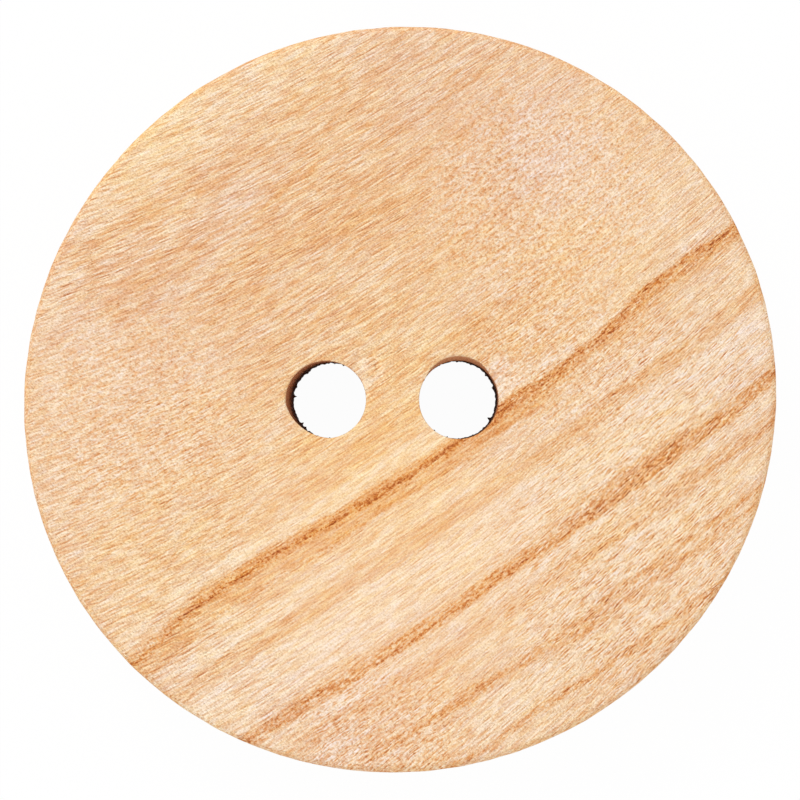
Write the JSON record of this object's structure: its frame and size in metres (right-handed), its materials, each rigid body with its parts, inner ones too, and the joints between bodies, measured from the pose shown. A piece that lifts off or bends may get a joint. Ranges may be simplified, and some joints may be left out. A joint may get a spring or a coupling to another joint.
{
  "type": "wooden button",
  "caption": "Flat round wooden button with softly sanded edges and drilled thread holes, sewn on to close a coat, cardigan, bag or cushion cover.",
  "frame": {"origin": "middle of the button's back, at the centre of its outline", "axes": "+Z from the back to the face, +X along the line through the thread holes"},
  "size_m": [0.03, 0.0298, 0.0045],
  "materials": {
    "wood": "satin"
  },
  "bodies": {
    "root": {"button": "wood"}
  },
  "joints": []
}
